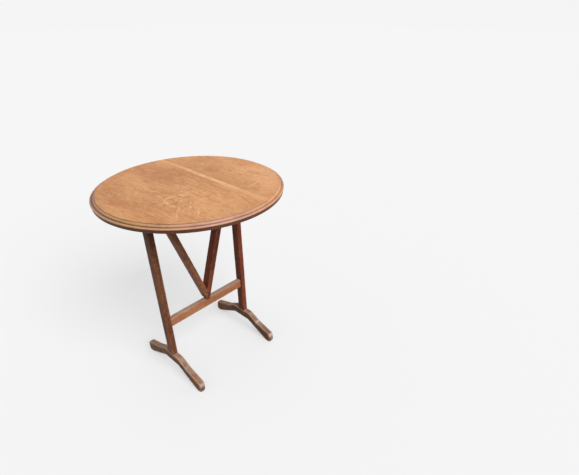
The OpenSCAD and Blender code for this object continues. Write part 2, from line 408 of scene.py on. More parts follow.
topShape = {
    "rimWidth": 16.5 * mm,
    "quirk": 1.5 * mm,
    "ovoloWidth": 7.5 * mm,
    "ovoloHeight": 5.5 * mm,
    "beadRadius": 3.4 * mm,
    "bandBack": 2.4 * mm,     # how far the plain band below the bead is set back
    "jointGap": 0.12 * mm,
    "arris": 0.5 * mm,
    "turns": 560,             # stations round the rim of each board
    "faceColumns": 34,
    "underColumns": 14,
    "rimWander": 0.18 * mm,
    "dents": 16,
    "dentDepth": 0.9 * mm,
}
topMarks = ("rim", "edge", "grime", "band", "under")


def topSection(s, radius, thick):
    # the rim's section from the face out and down to the underside: radius, height and the five marks
    faceR = radius - s["rimWidth"]
    lipR = faceR + s["ovoloWidth"]
    beadR = s["beadRadius"]
    beadTop = thick - s["quirk"] - s["ovoloHeight"]
    beadX, beadZ = radius - beadR, beadTop - beadR
    valleyZ = beadTop - beadR * 0.29
    rows = []

    # the grime mark lays grime and painted shade in the quirk, in the valley, on the bead's lower half and at
    # the top of the band
    def add(r, z, edge, grime, rim=1.0, band=0.0, under=0.0):
        rows.append((r, z, rim, edge, grime, band, under))

    for t in np.linspace(0, 1, 6):                      # arris of the face
        turn = t * np.pi / 2
        add(faceR - s["arris"] * (1 - np.sin(turn)), thick - s["arris"] * (1 - np.cos(turn)),
            0.7 * np.sin(turn * 2), 0.15 * t, rim=t)
    add(faceR, thick - s["quirk"] * 0.7, 0, 0.8)
    add(faceR + 0.1 * mm, thick - s["quirk"], 0, 1.0)
    for t in np.linspace(0.06, 1, 12):                  # ovolo
        turn = np.pi / 2 * (1 - t)
        add(faceR + s["ovoloWidth"] * np.cos(turn), beadTop + s["ovoloHeight"] * np.sin(turn),
            0.55 * np.sin(np.pi * t), 0.9 * max(0, 1 - t * 7) + 0.7 * max(0, t * 4 - 3.3))
    add(lipR + 0.05 * mm, valleyZ + 0.3 * mm, 0, 0.65)
    add(lipR + 0.4 * mm, valleyZ, 0, 0.7)
    add(lipR + 1.8 * mm, valleyZ - 0.1 * mm, 0, 0.5)
    # the bead's lower half faces down and gets the grime and band marks: painted shade
    for turn in np.radians(np.linspace(135, -60, 15)):  # bead
        under = max(0, -turn / 1.05)
        add(beadX + beadR * np.cos(turn), beadZ + beadR * np.sin(turn),
            max(0, 0.8 * np.cos(turn - 0.7)), max(0, (turn - 1.75) * 0.6) + under ** 2, band=under ** 3 * 0.6)
    low = radius - s["bandBack"]
    bandTop = beadTop - 2 * beadR
    for t in (0, 0.12, 0.35, 0.6, 0.8, 0.94):           # plain band
        add(low, bandTop * (1 - t), 0, max(0.1, 1 - t * 6), band=1.0)
    add(low - 0.6 * mm, 0, 0.3, 0.2, band=1.0, under=0.6)
    return np.array(rows)


def boardSurface(s, side, cutX, radius, underZ, thick, seed):
    # one board of the round top: a fan from the joint line out to the rim
    # the rim's section follows the arc between the two ends of the joint line
    section = topSection(s, radius, thick)
    edgeX = cutX + side * s["jointGap"]
    t = (1 - np.cos(np.linspace(0, np.pi, s["turns"]))) / 2 * 0.35 + np.linspace(0, 1, s["turns"]) * 0.65
    rng = np.random.default_rng(seed)

    def arc(r):
        # angle of the rim at t, for a point of the section at radius r
        start = np.arccos(edgeX / r)
        if side > 0:
            return start * (1 - 2 * t)
        return start + (2 * np.pi - 2 * start) * t

    around = arc(radius)
    worn = s["rimWander"] * (1 + wander(around, seed, 1.1, 7))
    for _ in range(s["dents"]):
        at = rng.uniform(around.min(), around.max())
        depth = s["dentDepth"] * rng.uniform(0.2, 1)
        worn += depth * np.exp(-(((around - at) / rng.uniform(0.008, 0.03)) ** 2))
    columns = []
    for r, z, _, edge, *_ in section:
        turn = arc(r)
        loss = worn * edge
        left = r - loss * 0.8
        x = np.where(np.abs(r * np.cos(turn) - edgeX) < 1e-9, edgeX, left * np.cos(turn))
        columns.append(pointsAt(x, left * np.sin(turn), underZ + z - loss * 0.5))
    rimGrid = np.stack(columns, 1)

    # points along the joint line that the fans start from
    reach = math.sqrt((radius - s["rimWidth"]) ** 2 - cutX ** 2) * 0.97
    anchorY = reach * np.cos(np.pi * t) * (1 if rimGrid[0, 0, 1] > 0 else -1)

    def anchor(dx, z):
        return pointsAt(edgeX + side * dx, anchorY, underZ + z)

    def fan(fromPoints, toPoints, count):
        w = (np.arange(count) / count)[None, :, None]
        return fromPoints[:, None] * (1 - w) + toPoints[:, None] * w

    face = fan(anchor(s["arris"] * 0.6, thick), rimGrid[:, 0], s["faceColumns"])
    x, y = face[..., 0], face[..., 1]
    hollow = 0.10 * mm * (2 + np.sin(x * 31 + seed) * np.cos(y * 17) + np.sin(x * 13 + y * 23 + seed * 2))
    fade = np.clip((radius - s["rimWidth"] - np.hypot(x, y)) / (12 * mm), 0, 1)
    face[..., 2] -= hollow * fade * np.clip((np.abs(x - edgeX)) / (8 * mm), 0, 1)
    under = fan(rimGrid[:, -1], anchor(s["arris"] * 0.6, 0), s["underColumns"])
    lip = anchor(0, s["arris"])[:, None]
    brow = anchor(0, thick - s["arris"] * 0.8)[:, None]
    low = anchor(s["arris"] * 0.6, 0)[:, None]
    grid = np.concatenate([brow, face, rimGrid, under[:, 1:], low, lip], 1)
    values = np.concatenate([[(0, 0.2, 1, 0, 0), (0, 0.4, 0, 0, 0)], np.zeros((s["faceColumns"] - 1, 5)),
                             section[:, 2:], np.tile((1, 0, 0.2, 0, 1), (s["underColumns"] + 1, 1))])
    return grid, {name: np.ones((len(t), 1)) * column for name, column in zip(topMarks, values.T)}


lowWide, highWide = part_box("top_board_wide")
topRadius = -lowWide.x
underZ, faceZ = lowWide.z, highWide.z
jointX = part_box("top_board_narrow")[0].x


def makeBoard(name, node, side, seed):
    grid, marks = boardSurface(topShape, side, jointX, topRadius, underZ, faceZ - underZ, seed)
    return tubePiece(name, grid, marks, node)


wideBoard = makeBoard("wideBoard", "top_board_wide", -1, 3)
narrowBoard = makeBoard("narrowBoard", "top_board_narrow", 1, 8)
print("top ready")


# uprights and stretcher

barWear = {
    "radius": 0.9 * mm,
    "reach": 0.16,
    "nicks": 5,
    "nickDepth": 0.9 * mm,
    "nickWidth": 4 * mm,
    "swell": 0.0,
}
uprightShape = {"stations": 260, "sink": 2 * mm}
stretcherShape = {"stations": 150, "sink": 3 * mm}
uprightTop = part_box("upright_left")[1].z
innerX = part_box("upright_right")[0].x
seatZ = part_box("foot_left")[1].z


def worn(seed, **changes):
    return {**barWear, "seed": seed, **changes}


def headHalf(z, half):
    # half width of the frame's head: straight, then a short taper, then round about the hinge
    roundR = uprightTop - hingeZ
    taper = roundR + (half - roundR) * (hingeZ - z) / half
    dome = np.sqrt(np.clip(roundR ** 2 - (z - hingeZ) ** 2, 0, None))
    return np.where(z < hingeZ - half, half, np.where(z < hingeZ, taper, dome))


def makeUpright(name, node, seed):
    # a straight bar from the foot's seat to the hinge, then drawn in along a circle to its top
    lo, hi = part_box(node)
    body = np.linspace(seatZ - uprightShape["sink"], hingeZ - 1 * mm, uprightShape["stations"])
    dome = hingeZ + (hi.z - hingeZ) * np.sin(np.linspace(0, np.pi / 2 * 0.985, 24))
    z = np.concatenate([body, dome])
    a = np.full_like(z, (hi.x - lo.x) / 2)
    b = headHalf(z, (hi.y - lo.y) / 2)
    centre = pointsAt((lo.x + hi.x) / 2, 0, z)
    return loftBar(name, centre, (1, 0, 0), (0, 1, 0), a, b, worn(seed), node)


def makeStretcher(name, node, seed):
    # a straight bar along X that runs a little way into both uprights
    lo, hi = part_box(node)
    end = innerX + stretcherShape["sink"]
    x = np.linspace(-end, end, stretcherShape["stations"])
    a = np.full_like(x, (hi.y - lo.y) / 2)
    b = np.full_like(x, (hi.z - lo.z) / 2)
    centre = pointsAt(x, 0, (lo.z + hi.z) / 2)
    return loftBar(name, centre, (0, 1, 0), (0, 0, 1), a, b, worn(seed, radius=1.3 * mm, nicks=9), node)


uprightLeft = makeUpright("uprightLeft", "upright_left", 11)
uprightRight = makeUpright("uprightRight", "upright_right", 12)
stretcherBar = makeStretcher("stretcherBar", "stretcher", 31)


# feet

footShape = {
    "seatHalf": 46 * mm,
    "breakShare": 0.35,      # where the slope breaks, between the seat and the toe
    "toeHeight": 39 * mm,
    "padLength": 24 * mm,
    "archHeight": 52 * mm,
    "endRadius": 9 * mm,
    "noseRadius": 8 * mm,    # how much the toe is rounded, seen from above
    "noseSwell": 6 * mm,     # and how much rounder its arrises get towards the end
    "stations": 420,
}


def footLines(s, d, half):
    # top and bottom of the foot at the distance d from its middle
    breakY = s["seatHalf"] + (half - s["seatHalf"]) * s["breakShare"]
    breakZ = (s["toeHeight"] + seatZ) / 2
    soft = np.interp(d, [s["seatHalf"], s["seatHalf"] + 12 * mm, breakY, half - 20 * mm, half],
                     [3 * mm, 6 * mm, 10 * mm, 12 * mm, 2 * mm])
    top = easedLine(d, [(0, seatZ), (s["seatHalf"], seatZ), (breakY, breakZ), (half - 4 * mm, s["toeHeight"]),
                        (half, s["toeHeight"] - 1.2 * mm)], soft)
    bottom = easedLine(d, [(0, s["archHeight"]), (s["seatHalf"] - 4 * mm, s["archHeight"]),
                           (half - s["padLength"], 0), (half, 0)], 5 * mm)
    # round the toe in at its end
    r = s["endRadius"]
    past = np.clip(d - (half - r), 0, r)
    drop = r - np.sqrt(np.clip(r * r - past * past, 0, None))
    return np.minimum(top, seatZ) - drop, np.maximum(bottom, 0) + drop * 0.9


def makeFoot(name, node, seed):
    # a bar along Y between the lines above, its stations closer at the toes: there it draws in
    # along an arc, seen from above, and its arrises grow rounder
    s = footShape
    lo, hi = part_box(node)
    half = hi.y
    y = half * np.sin(np.linspace(-np.pi / 2, np.pi / 2, s["stations"]) * 0.999) / math.sin(np.pi / 2 * 0.999)
    d = np.abs(y)
    top, bottom = footLines(s, d, half)
    nose = s["noseRadius"]
    past = np.clip(d - (half - nose), 0, nose)
    a = (hi.x - lo.x) / 2 - (nose - np.sqrt(np.clip(nose ** 2 - past ** 2, 0, None))) * 0.85
    a = a - 0.3 * mm * np.clip((d - 0.09) / 0.08, 0, 1) - 0.12 * mm * (1 + wander(y, seed, 0.1))
    centre = pointsAt((lo.x + hi.x) / 2, y, (top + bottom) / 2)
    swell = s["noseSwell"] * np.clip((d - (half - 16 * mm)) / (14 * mm), 0, 1) ** 2
    wear = worn(seed, radius=1.7 * mm, nicks=10, nickDepth=1.6 * mm, swell=swell)
    tips = 0.85 * np.exp(-(((d - (half - 5 * mm)) / (3 * mm)) ** 2))
    return loftBar(name, centre, (1, 0, 0), (0, 0, 1), a, (top - bottom) / 2, wear, node, tips)


footLeft = makeFoot("footLeft", "foot_left", 21)
footRight = makeFoot("footRight", "foot_right", 22)
print("frame ready")


# the turning support

supportShape = {
    "armThick": 20 * mm,
    "vertexShare": 0.66,     # height of the vertex above the heel, as a share of the arm's thickness
    "armAngle": math.radians(18),
    "heelRound": 9 * mm,
    "headHalf": 16.5 * mm,   # half width of the crossbar where its head starts
    "stations": 240,
}


def makeArm(name, node, side, seed):
    # a bar up Z: both faces lean out from the vertex by the arm's angle, the inner one stops at the
    # middle plane, and the outer one turns in along an arc at the heel
    s = supportShape
    lo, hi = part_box(node)
    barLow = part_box("support_crossbar")[0].z
    heelZ = lo.z
    vertexZ = heelZ + s["armThick"] * s["vertexShare"]
    slope = math.tan(s["armAngle"])
    across = s["armThick"] / 2 / math.cos(s["armAngle"])
    z = np.concatenate([heelZ + 12 * mm * (1 - np.cos(np.linspace(0, np.pi / 2, 30))),
                        np.linspace(heelZ + 12.6 * mm, barLow + 1 * mm, s["stations"])])
    outer = (z - vertexZ) * slope + across
    inner = np.maximum((z - vertexZ) * slope - across, 0.1 * mm)
    lift = np.clip(s["heelRound"] - (z - heelZ), 0, s["heelRound"])
    outer = outer - (s["heelRound"] - np.sqrt(s["heelRound"] ** 2 - lift ** 2)) * 0.45
    b = headHalf(z, (hi.y - lo.y) / 2)
    centre = pointsAt(side * (outer + inner) / 2, 0, z)
    return loftBar(name, centre, (1, 0, 0), (0, 1, 0), (outer - inner) / 2, b, worn(seed), node)


def makeCrossbar(name, node):
    # a bar whose top is round about the hinge, carried along X with eased ends
    lo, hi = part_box(node)
    half = hi.x
    roundR = hi.z - hingeZ
    side = headHalf(np.array([lo.z]), supportShape["headHalf"])[0]
    arc = np.linspace(0, np.pi, 30)
    top = np.stack([roundR * np.cos(arc), hingeZ + roundR * np.sin(arc)], -1)
    under = [(-side, 1 * mm), (-side + 0.3 * mm, 0.3 * mm), (-side + 1 * mm, 0), (0, 0),
             (side - 1 * mm, 0), (side - 0.3 * mm, 0.3 * mm), (side, 1 * mm)]
    under = np.array(under) + (0, lo.z)
    w = np.linspace(0, 1, 6)[1:-1, None]
    section = np.concatenate([top, top[-1] * (1 - w) + under[0] * w, under, under[-1] * (1 - w) + top[0] * w])
    x = np.concatenate([[-half, -half + 0.4 * mm, -half + 1.4 * mm],
                        np.linspace(-half + 3 * mm, half - 3 * mm, 90),
                        [half - 1.4 * mm, half - 0.4 * mm, half]])
    ends = np.clip((half - np.abs(x)) / (1.4 * mm), 0, 1)
    shrink = 1 - 0.07 * (1 - np.sqrt(np.clip(ends * (2 - ends), 0, 1)))
    middle = np.array([0, (lo.z + hi.z) / 2])
    rings = middle + (section - middle)[None] * (shrink * 0.998)[:, None, None]
    grid = np.concatenate([np.repeat(x[:, None, None], len(section), 1), rings], -1)
    edge = np.zeros(grid.shape[:2])
    edge[:3] = edge[-3:] = 0.8
    firstUnder = len(top) + len(w)
    edge[:, firstUnder:firstUnder + 3] = 1
    return tubePiece(name, grid, {"edge": edge}, node)


armLeft = makeArm("armLeft", "support_arm_left", -1, 41)
armRight = makeArm("armRight", "support_arm_right", 1, 42)
crossbar = makeCrossbar("crossbar", "support_crossbar")
print("support ready")


# battens and cleats, eased copies of their solids

easing = {
    "width": 0.8 * mm,
    "segments": 2,
    "limit_method": "ANGLE",
    "angle_limit": math.radians(40),
    "use_clamp_overlap": True,
}


def easedCopy(name, node):
    # the piece with its arrises eased: merged, its flat faces joined, and bevelled
    shape = bmesh.new()
    shape.from_mesh(frame["nodes"][node].data)
    bmesh.ops.remove_doubles(shape, verts=shape.verts, dist=1e-6)
    bmesh.ops.dissolve_limit(shape, angle_limit=math.radians(1), verts=shape.verts, edges=shape.edges)
    mesh = bpy.data.meshes.new(name)
    shape.to_mesh(mesh)
    shape.free()
    mesh.materials.clear()
    piece = addPiece(name, mesh, node)
    bevel = piece.modifiers.new("arris", "BEVEL")
    for setting, value in easing.items():
        setattr(bevel, setting, value)
    return piece


battenFront = easedCopy("battenFront", "batten_front")
battenRear = easedCopy("battenRear", "batten_rear")
cleatLeft = easedCopy("cleatLeft", "pivot_cleat_left")
cleatRight = easedCopy("cleatRight", "pivot_cleat_right")
print("battens and cleats ready")


# shared effects

def growOak(given):
    # Oak sawn along Y. Yearly rings are cones round a heart line: where the board cuts them
    # at a slope they show as nested arches, elsewhere as long lines.
    v = given["Vector"]
    drift = cloud(v, (5, 1.6, 5), 3.0)
    x, y, z = split(v)
    x = x - given["Heart"] + (drift - 0.5) * given["Wander"]
    deep = z + given["Depth"] + y * given["Slope"]
    radius = calc("SQRT", x * x + deep * deep) + given["Bulge"]
    uneven = cloud(v, (40, 6, 40))
    year = calc("FRACT", radius * given["Rings"] + uneven * 0.9)
    rings = span(year, 0.0, 0.16) * span(year, 0.22, 0.95, 1.0, 0.0)
    fibres = cloud(v, (900, 22, 900), 3.0, 0.6)
    broad = cloud(v, (190, 5, 190), 3.0, 0.6)
    seeds = cloud(v, (1500, 95, 1500), 1.0)
    pores = span(seeds - span(rings, 0.0, 1.0, 0.72, 0.60, "LINEAR"), 0.0, 0.06)
    streaks = fibres * 0.5 + broad * 0.5
    return {"Rings": rings, "Fibres": streaks, "Pores": pores, "Height": fibres * 0.35 - pores}


def roundPatch(given):
    # a soft round patch about a point, 1 at its middle, with a ragged edge
    away = vectorCalc("DIVIDE", vectorCalc("SUBTRACT", given["Vector"], given["Centre"]), given["Size"])
    ragged = (cloud(away, 1.6, 3.0, 0.6) - 0.5) * given["Ragged"]
    reach = vectorCalc("LENGTH", away, out=1) + ragged * 2.0
    return {"Mask": span(reach, 0.0, 1.0, 1.0, 0.0)}


def bowStroke(given):
    # one bowed stroke of figure: a thin line that follows a parabola and fades at its ends
    near = vectorCalc("SUBTRACT", given["Vector"], given["Middle"])
    turned = feed("ShaderNodeVectorRotate", {"Vector": near, "Angle": given["Turn"]}, rotation_type="Z_AXIS",
                  invert=True)
    x, y, z = split(Wire(turned.outputs[0]))
    t = calc("DIVIDE", x, given["Half"])
    shake = (cloud(given["Vector"], 90.0) - 0.5) * 0.006
    away = calc("ABSOLUTE", y + shake - given["Bow"] * (1.0 - t * t))
    line = span(away, 0.0, given["Width"], 1.0, 0.0)
    ends = span(calc("ABSOLUTE", t), 0.55, 1.05, 1.0, 0.0)
    broken = span(cloud(given["Vector"], 110.0, 2.0, 0.6), 0.36, 0.54, 0.40, 1.0)
    return {"Mask": line * ends * broken}


def rubEdges(given):
    # rubbed arrises: a broken band along the marked edges
    patchy = cloud(given["Vector"], 42.0, 3.0, 0.6) * 0.65 + cloud(given["Vector"], 310.0, 2.0, 0.6) * 0.35
    limit = 1.0 - given["Amount"]
    rubbed = span(patchy, limit - 0.12, limit + 0.12)
    return {"Mask": calc("MULTIPLY", rubbed, given["Edge"], clamp=True)}


def markUse(given):
    # small marks of use: fine scratches, specks and scuffs
    v = given["Vector"]
    lines = []
    for turn, shift in ((0.5, 0.0), (-0.9, 3.0), (1.35, 7.0)):
        bent = placed(v, place=(shift, shift, 0), turn=(0, 0, turn), scale=(520, 7, 60))
        lines.append(span(cloud(bent, 1.0, 1.0), 0.70, 0.76))
    scratches = calc("MAXIMUM", calc("MAXIMUM", lines[0], lines[1]), lines[2])
    specks = span(cloud(v, 330.0, 1.0), 0.735, 0.765)
    scuffs = span(cloud(v, (30, 18, 30), 5.0, 0.7), 0.50, 0.68)
    return {"Scratches": scratches, "Specks": specks, "Scuffs": scuffs}


nowhere = (0, 0, 0)
oakGrain = makeGroup("oakGrain", growOak, Vector=nowhere, Rings=95.0, Heart=0.0, Depth=0.05, Slope=0.12,
                     Wander=0.02, Bulge=0.0)
patch = makeGroup("patch", roundPatch, Vector=nowhere, Centre=nowhere, Size=(0.05, 0.05, 0.05), Ragged=0.3)
curl = makeGroup("curl", bowStroke, Vector=nowhere, Middle=nowhere, Turn=0.0, Half=0.015, Bow=0.0,
                 Width=0.003)
wornEdge = makeGroup("wornEdge", rubEdges, Vector=nowhere, Edge=0.0, Amount=0.5)
handling = makeGroup("handling", markUse, Vector=nowhere)


def newMaterial(name):
    material = bpy.data.materials.new(name)
    material.use_nodes = True
    tree = material.node_tree
    place = Wire(put(tree, "ShaderNodeTexCoord").outputs["Object"])
    return material, tree.nodes["Principled BSDF"], place


def dressShader(shader, inputs, height, distance, strength):
    # the shader's inputs by name, and a bump for the height
    for name, value in inputs.items():
        join(value, shader.inputs[name])
    bump = feed("ShaderNodeBump", {"Height": height, "Distance": distance, "Strength": strength})
    join(Wire(bump.outputs[0]), shader.inputs["Normal"])


def spot(place, middle, size, ragged):
    # a soft patch; with two numbers for its middle and its size it lies on the top's face
    return use(patch, Vector=place, Centre=(*middle, faceZ)[:3], Size=(*size, 0.2)[:3], Ragged=ragged)["Mask"]


def layTones(place, tone, tones, palette, ragged):
    # soft patches of colour: middle, half sizes, colour and strength
    for middle, size, name, strength in tones:
        tone = tint(spot(place, middle, size, ragged) * strength, tone, palette[name])
    return tone


# oak of the top

topOak = mixPaints({
    "deep": (176, 114, 67),
    "body": (210, 149, 97),
    "pale": (232, 173, 118),
    "light": (250, 186, 134),
    "orange": (226, 150, 94),
    "red": (188, 116, 70),
    "brown": (148, 96, 56),
    "grey": (168, 120, 76),
    "sapwood": (230, 170, 114),
    "sapPale": (248, 204, 152),
    "ray": (250, 196, 142),
    "rim": (192, 136, 104),
    "rimRose": (196, 146, 132),
    "rimGold": (220, 158, 110),
    "rimTan": (172, 130, 76),
    "rimDark": (150, 100, 84),
    "rimDusk": (128, 94, 74),
    "rimDeep": (84, 54, 38),
    "rimWorn": (228, 184, 148),
    # band is the plain band under the bead: darker wood, and painted shade where it faces out under the bead
    "band": (96, 58, 38),
    "bandRed": (156, 90, 62),
    # grime darkens the pits and mottles the band, and in the rim's recesses it is also painted shade
    "grime": (62, 36, 25),
    "under": (122, 84, 58),
    "underPale": (148, 106, 76),
    "gloss": 0.46,
    "sheen": 0.18,      # how much the wax reflects
    "rimReach": 0.31,   # metres of grain for one radian of the rim
    "rimMiddle": 0.3,   # how far out the tones of the rim are centred
})

# soft tones laid over a board: middle x and y, half sizes, colour and strength
wideTones = [
    ((-0.035, 0.121), (0.085, 0.10), "red", 0.42),
    ((0.024, -0.259), (0.060, 0.11), "red", 0.30),
    ((-0.042, -0.265), (0.018, 0.12), "pale", 0.30),
    ((-0.112, -0.050), (0.052, 0.055), "pale", 0.45),
    ((-0.104, 0.030), (0.030, 0.075), "grey", 0.25),
    ((-0.060, 0.030), (0.022, 0.15), "pale", 0.30),
    ((-0.010, 0.215), (0.090, 0.09), "red", 0.25),
    ((-0.098, 0.273), (0.050, 0.05), "deep", 0.45),
    ((-0.245, 0.110), (0.050, 0.12), "deep", 0.30),
    ((-0.236, -0.160), (0.060, 0.10), "deep", 0.25),
    ((-0.184, -0.020), (0.040, 0.16), "deep", 0.20),
    ((0.028, -0.040), (0.028, 0.14), "deep", 0.20),
    ((-0.080, -0.230), (0.240, 0.13), "pale", 0.55),
    ((0.020, -0.140), (0.110, 0.17), "pale", 0.40),
    ((-0.110, -0.150), (0.190, 0.17), "light", 0.45),
    ((0.030, -0.120), (0.060, 0.12), "orange", 0.30),
]
narrowTones = [
    ((0.105, -0.088), (0.040, 0.10), "red", 0.30),
    ((0.131, 0.060), (0.045, 0.13), "red", 0.28),
    ((0.122, 0.196), (0.050, 0.09), "red", 0.36),
    ((0.240, -0.112), (0.110, 0.22), "pale", 0.90),
    ((0.226, 0.040), (0.090, 0.16), "pale", 0.60),
    ((0.135, -0.215), (0.080, 0.09), "pale", 0.45),
    ((0.200, 0.180), (0.060, 0.08), "deep", 0.25),
    ((0.262, 0.020), (0.050, 0.14), "orange", 0.55),
    ((0.225, -0.120), (0.080, 0.17), "light", 0.75),
    ((0.190, -0.200), (0.100, 0.14), "light", 0.75),
    ((0.240, -0.080), (0.100, 0.16), "light", 0.55),
]
# tones of the moulding: direction from the middle in degrees, half size, colour and strength
rimTones = [
    (-160, 0.21, "rimTan", 0.95),
    (-108, 0.20, "rimRose", 0.90),
    (-62, 0.16, "rimGold", 0.95),
    (-20, 0.18, "rimGold", 0.80),
    (60, 0.16, "rimRose", 0.35),
    (120, 0.18, "rimTan", 0.50),
    (158, 0.15, "rimDusk", 0.90),
]
# strokes of curled figure: middle, direction in degrees, half length, bow, width, colour and strength
wideCurls = [
    ((-0.119, -0.061), -14, 0.019, 0.010, 0.0042, "ray", 1.0),
    ((-0.119, -0.066), -14, 0.013, 0.006, 0.0036, "brown", 0.45),
    ((-0.138, -0.069), -104, 0.015, -0.003, 0.0040, "ray", 0.9),
    ((-0.141, -0.082), -100, 0.010, 0.0, 0.0065, "ray", 0.9),
    ((-0.144, -0.111), -60, 0.010, 0.002, 0.0055, "ray", 0.9),
    ((-0.075, -0.063), -47, 0.017, 0.002, 0.0050, "ray", 0.8),
    ((-0.089, -0.068), -84, 0.024, 0.003, 0.0052, "brown", 0.50),
    ((-0.105, -0.104), -141, 0.017, -0.007, 0.0042, "ray", 1.0),
    ((-0.158, -0.165), -130, 0.042, -0.005, 0.0036, "ray", 0.6),
    ((-0.093, -0.131), -125, 0.009, 0.002, 0.0036, "ray", 0.8),
    ((-0.100, -0.140), -125, 0.012, 0.002, 0.0040, "brown", 0.35),
    ((-0.112, -0.152), -120, 0.011, 0.003, 0.0040, "ray", 0.8),
    ((-0.120, -0.200), -127, 0.021, 0.004, 0.0034, "ray", 0.8),
    ((-0.091, -0.170), -75, 0.012, 0.003, 0.0036, "ray", 0.7),
    ((-0.118, 0.026), -65, 0.015, 0.002, 0.0050, "ray", 0.6),
    ((-0.129, -0.016), -80, 0.011, 0.0, 0.0080, "pale", 0.9),
    ((-0.212, -0.111), -90, 0.024, 0.002, 0.0030, "pale", 0.7),
    ((-0.050, -0.150), -70, 0.030, 0.004, 0.0034, "pale", 0.6),
    ((-0.024, -0.110), -80, 0.012, 0.002, 0.0050, "pale", 0.6),
    ((-0.170, -0.060), -85, 0.020, 0.003, 0.0034, "brown", 0.30),
    ((-0.160, 0.070), -95, 0.030, -0.004, 0.0034, "pale", 0.50),
    ((-0.080, 0.072), -75, 0.026, 0.005, 0.0040, "brown", 0.25),
]
narrowCurls = [
    ((0.151, 0.131), 80, 0.010, 0.002, 0.0050, "ray", 0.9),
    ((0.135, -0.158), 14, 0.048, -0.003, 0.0032, "ray", 0.55),
    ((0.158, -0.150), 13, 0.042, -0.002, 0.0028, "ray", 0.45),
    ((0.203, 0.128), -90, 0.050, 0.014, 0.0040, "brown", 0.30),
    ((0.255, 0.110), -76, 0.060, 0.018, 0.0045, "brown", 0.30),
    ((0.225, 0.150), -80, 0.045, 0.013, 0.0035, "ray", 0.35),
]
# pits in the face: middle, half width in millimetres
pits = [((-0.170, 0.001), 2.4), ((-0.143, 0.095), 3.0), ((-0.117, 0.101), 2.0), ((-0.184, -0.207), 2.8)]
# the knot: middle, and half widths of its rings and of the split eye
knot = {"place": (-0.121, -0.103), "size": 0.052, "eye": 0.010}


def drawCurls(place, tone, curls, palette):
    for middle, turn, half, bow, width, name, strength in curls:
        stroke = use(curl, Vector=place, Middle=(*middle, faceZ), Turn=math.radians(turn), Half=half, Bow=bow,
                     Width=width)
        tone = tint(stroke["Mask"] * strength, tone, palette[name])
    return tone


def finishTop(shader, place, tone, grain, p):
    # small marks, the moulded rim, the underside, worn arrises, grime and painted shade in the corners, gloss
    # and bump
    marks = use(handling, Vector=place)
    tone = stain(tone, p, (marks["Scratches"] * 0.16, "pale"), (marks["Specks"] * 0.45, "brown"))
    rim, edge, grime, band, under = (mark(place.tree, name) for name in topMarks)
    x, y, z = split(place)
    around = calc("ARCTAN2", y, x) * p["rimReach"]
    sweep = Wire(feed("ShaderNodeCombineXYZ", {0: around, 1: z}).outputs[0])
    bands = cloud(sweep, (16, 60, 1), 4.0, 0.65)
    fineBands = cloud(sweep, (90, 420, 1), 3.0, 0.6)
    rimSpots = []
    for degrees, size, name, strength in rimTones:
        turn = math.radians(degrees)
        middle = (p["rimMiddle"] * math.cos(turn), p["rimMiddle"] * math.sin(turn))
        rimSpots.append((middle, (size, size), name, strength))
    rimTone = layTones(place, p["rim"], rimSpots, p, 0.3)
    rimTone = stain(rimTone, p, (span(bands, 0.48, 0.66, 0.0, 0.55), "rimDark"),
                    (span(fineBands, 0.50, 0.66, 0.0, 0.35), "rimDark"))
    # the plain band and the bead's underside take the band's dark colour: darker wood and painted shade
    lowTone = stain(p["band"], p, (span(x, 0.02, 0.20), "bandRed"),
                    (span(bands, 0.40, 0.62, 0.0, 0.5), "grime"))
    tone = tint(rim, tone, tint(band * 0.95, rimTone, lowTone))
    worn = use(wornEdge, Vector=place, Edge=edge, Amount=0.60)["Mask"]
    tone = tint(worn * (rim * 0.55), tone, p["rimWorn"])
    planed = cloud(place, (14, 220, 14))
    stains = cloud(place, (9, 5, 9), 5.0, 0.65)
    rough = stain(p["under"], p, (span(grain["Fibres"], 0.35, 0.65), "underPale"), (planed * 0.30, "grey"),
                  (span(stains, 0.48, 0.66, 0.0, 0.55), "rimDeep"),
                  (span(grain["Rings"], 0.2, 0.9, 0.0, 0.30), "rimDeep"))
    tone = tint(under, tone, rough)
    # grime and painted shade in the rim's recesses and under the bead, weaker towards +X
    dirtAndShade = grime * span(bands, 0.2, 0.6, 0.55, 1.0) * span(x, -0.26, 0.10, 0.95, 0.22)
    tone = tint(dirtAndShade, tone, p["grime"])
    gloss = marks["Scuffs"] * 0.10 + p["gloss"] + marks["Scratches"] * 0.14 + under * 0.30
    height = grain["Height"] - marks["Scratches"] * 0.5 - marks["Specks"] * 1.2
    inputs = {"Base Color": tone, "Roughness": gloss, "Specular IOR Level": p["sheen"]}
    dressShader(shader, inputs, height, 0.00012, 0.55)


def boardBase(grain, place, p, tones, ringStrength):
    # the plain wood of a board: slow drifts of tone, a mottle, rings and fibres
    slow = cloud(place, (7, 3, 7), 3.0, 0.55)
    tone = stain(p["body"], p, (span(slow, 0.36, 0.66, 0.0, 0.7), "pale"),
                 (span(slow, 0.50, 0.36) * 0.30, "deep"))
    tone = layTones(place, tone, tones, p, 0.5)
    blotch = cloud(place, (34, 13, 34), 3.0, 0.55, 0.5)
    mottle = cloud(place, (120, 42, 120), 3.0, 0.6, 0.6)
    speckle = cloud(place, (520, 170, 520), 2.0, 0.6)
    return stain(
        tone, p,
        (span(blotch, 0.50, 0.70, 0.0, 0.50), "red"),
        (span(blotch, 0.46, 0.28, 0.0, 0.45), "pale"),
        (span(mottle, 0.50, 0.68, 0.0, 0.44), "deep"),
        (span(mottle, 0.48, 0.32, 0.0, 0.44), "pale"),
        (span(speckle, 0.52, 0.70, 0.0, 0.50), "deep"),
        (grain["Rings"] * ringStrength, "deep"),
        (span(grain["Fibres"], 0.42, 0.66) * 0.32, "deep"),
        (span(grain["Fibres"], 0.50, 0.34) * 0.32, "pale"),
        (grain["Pores"] * 0.50, "brown"))


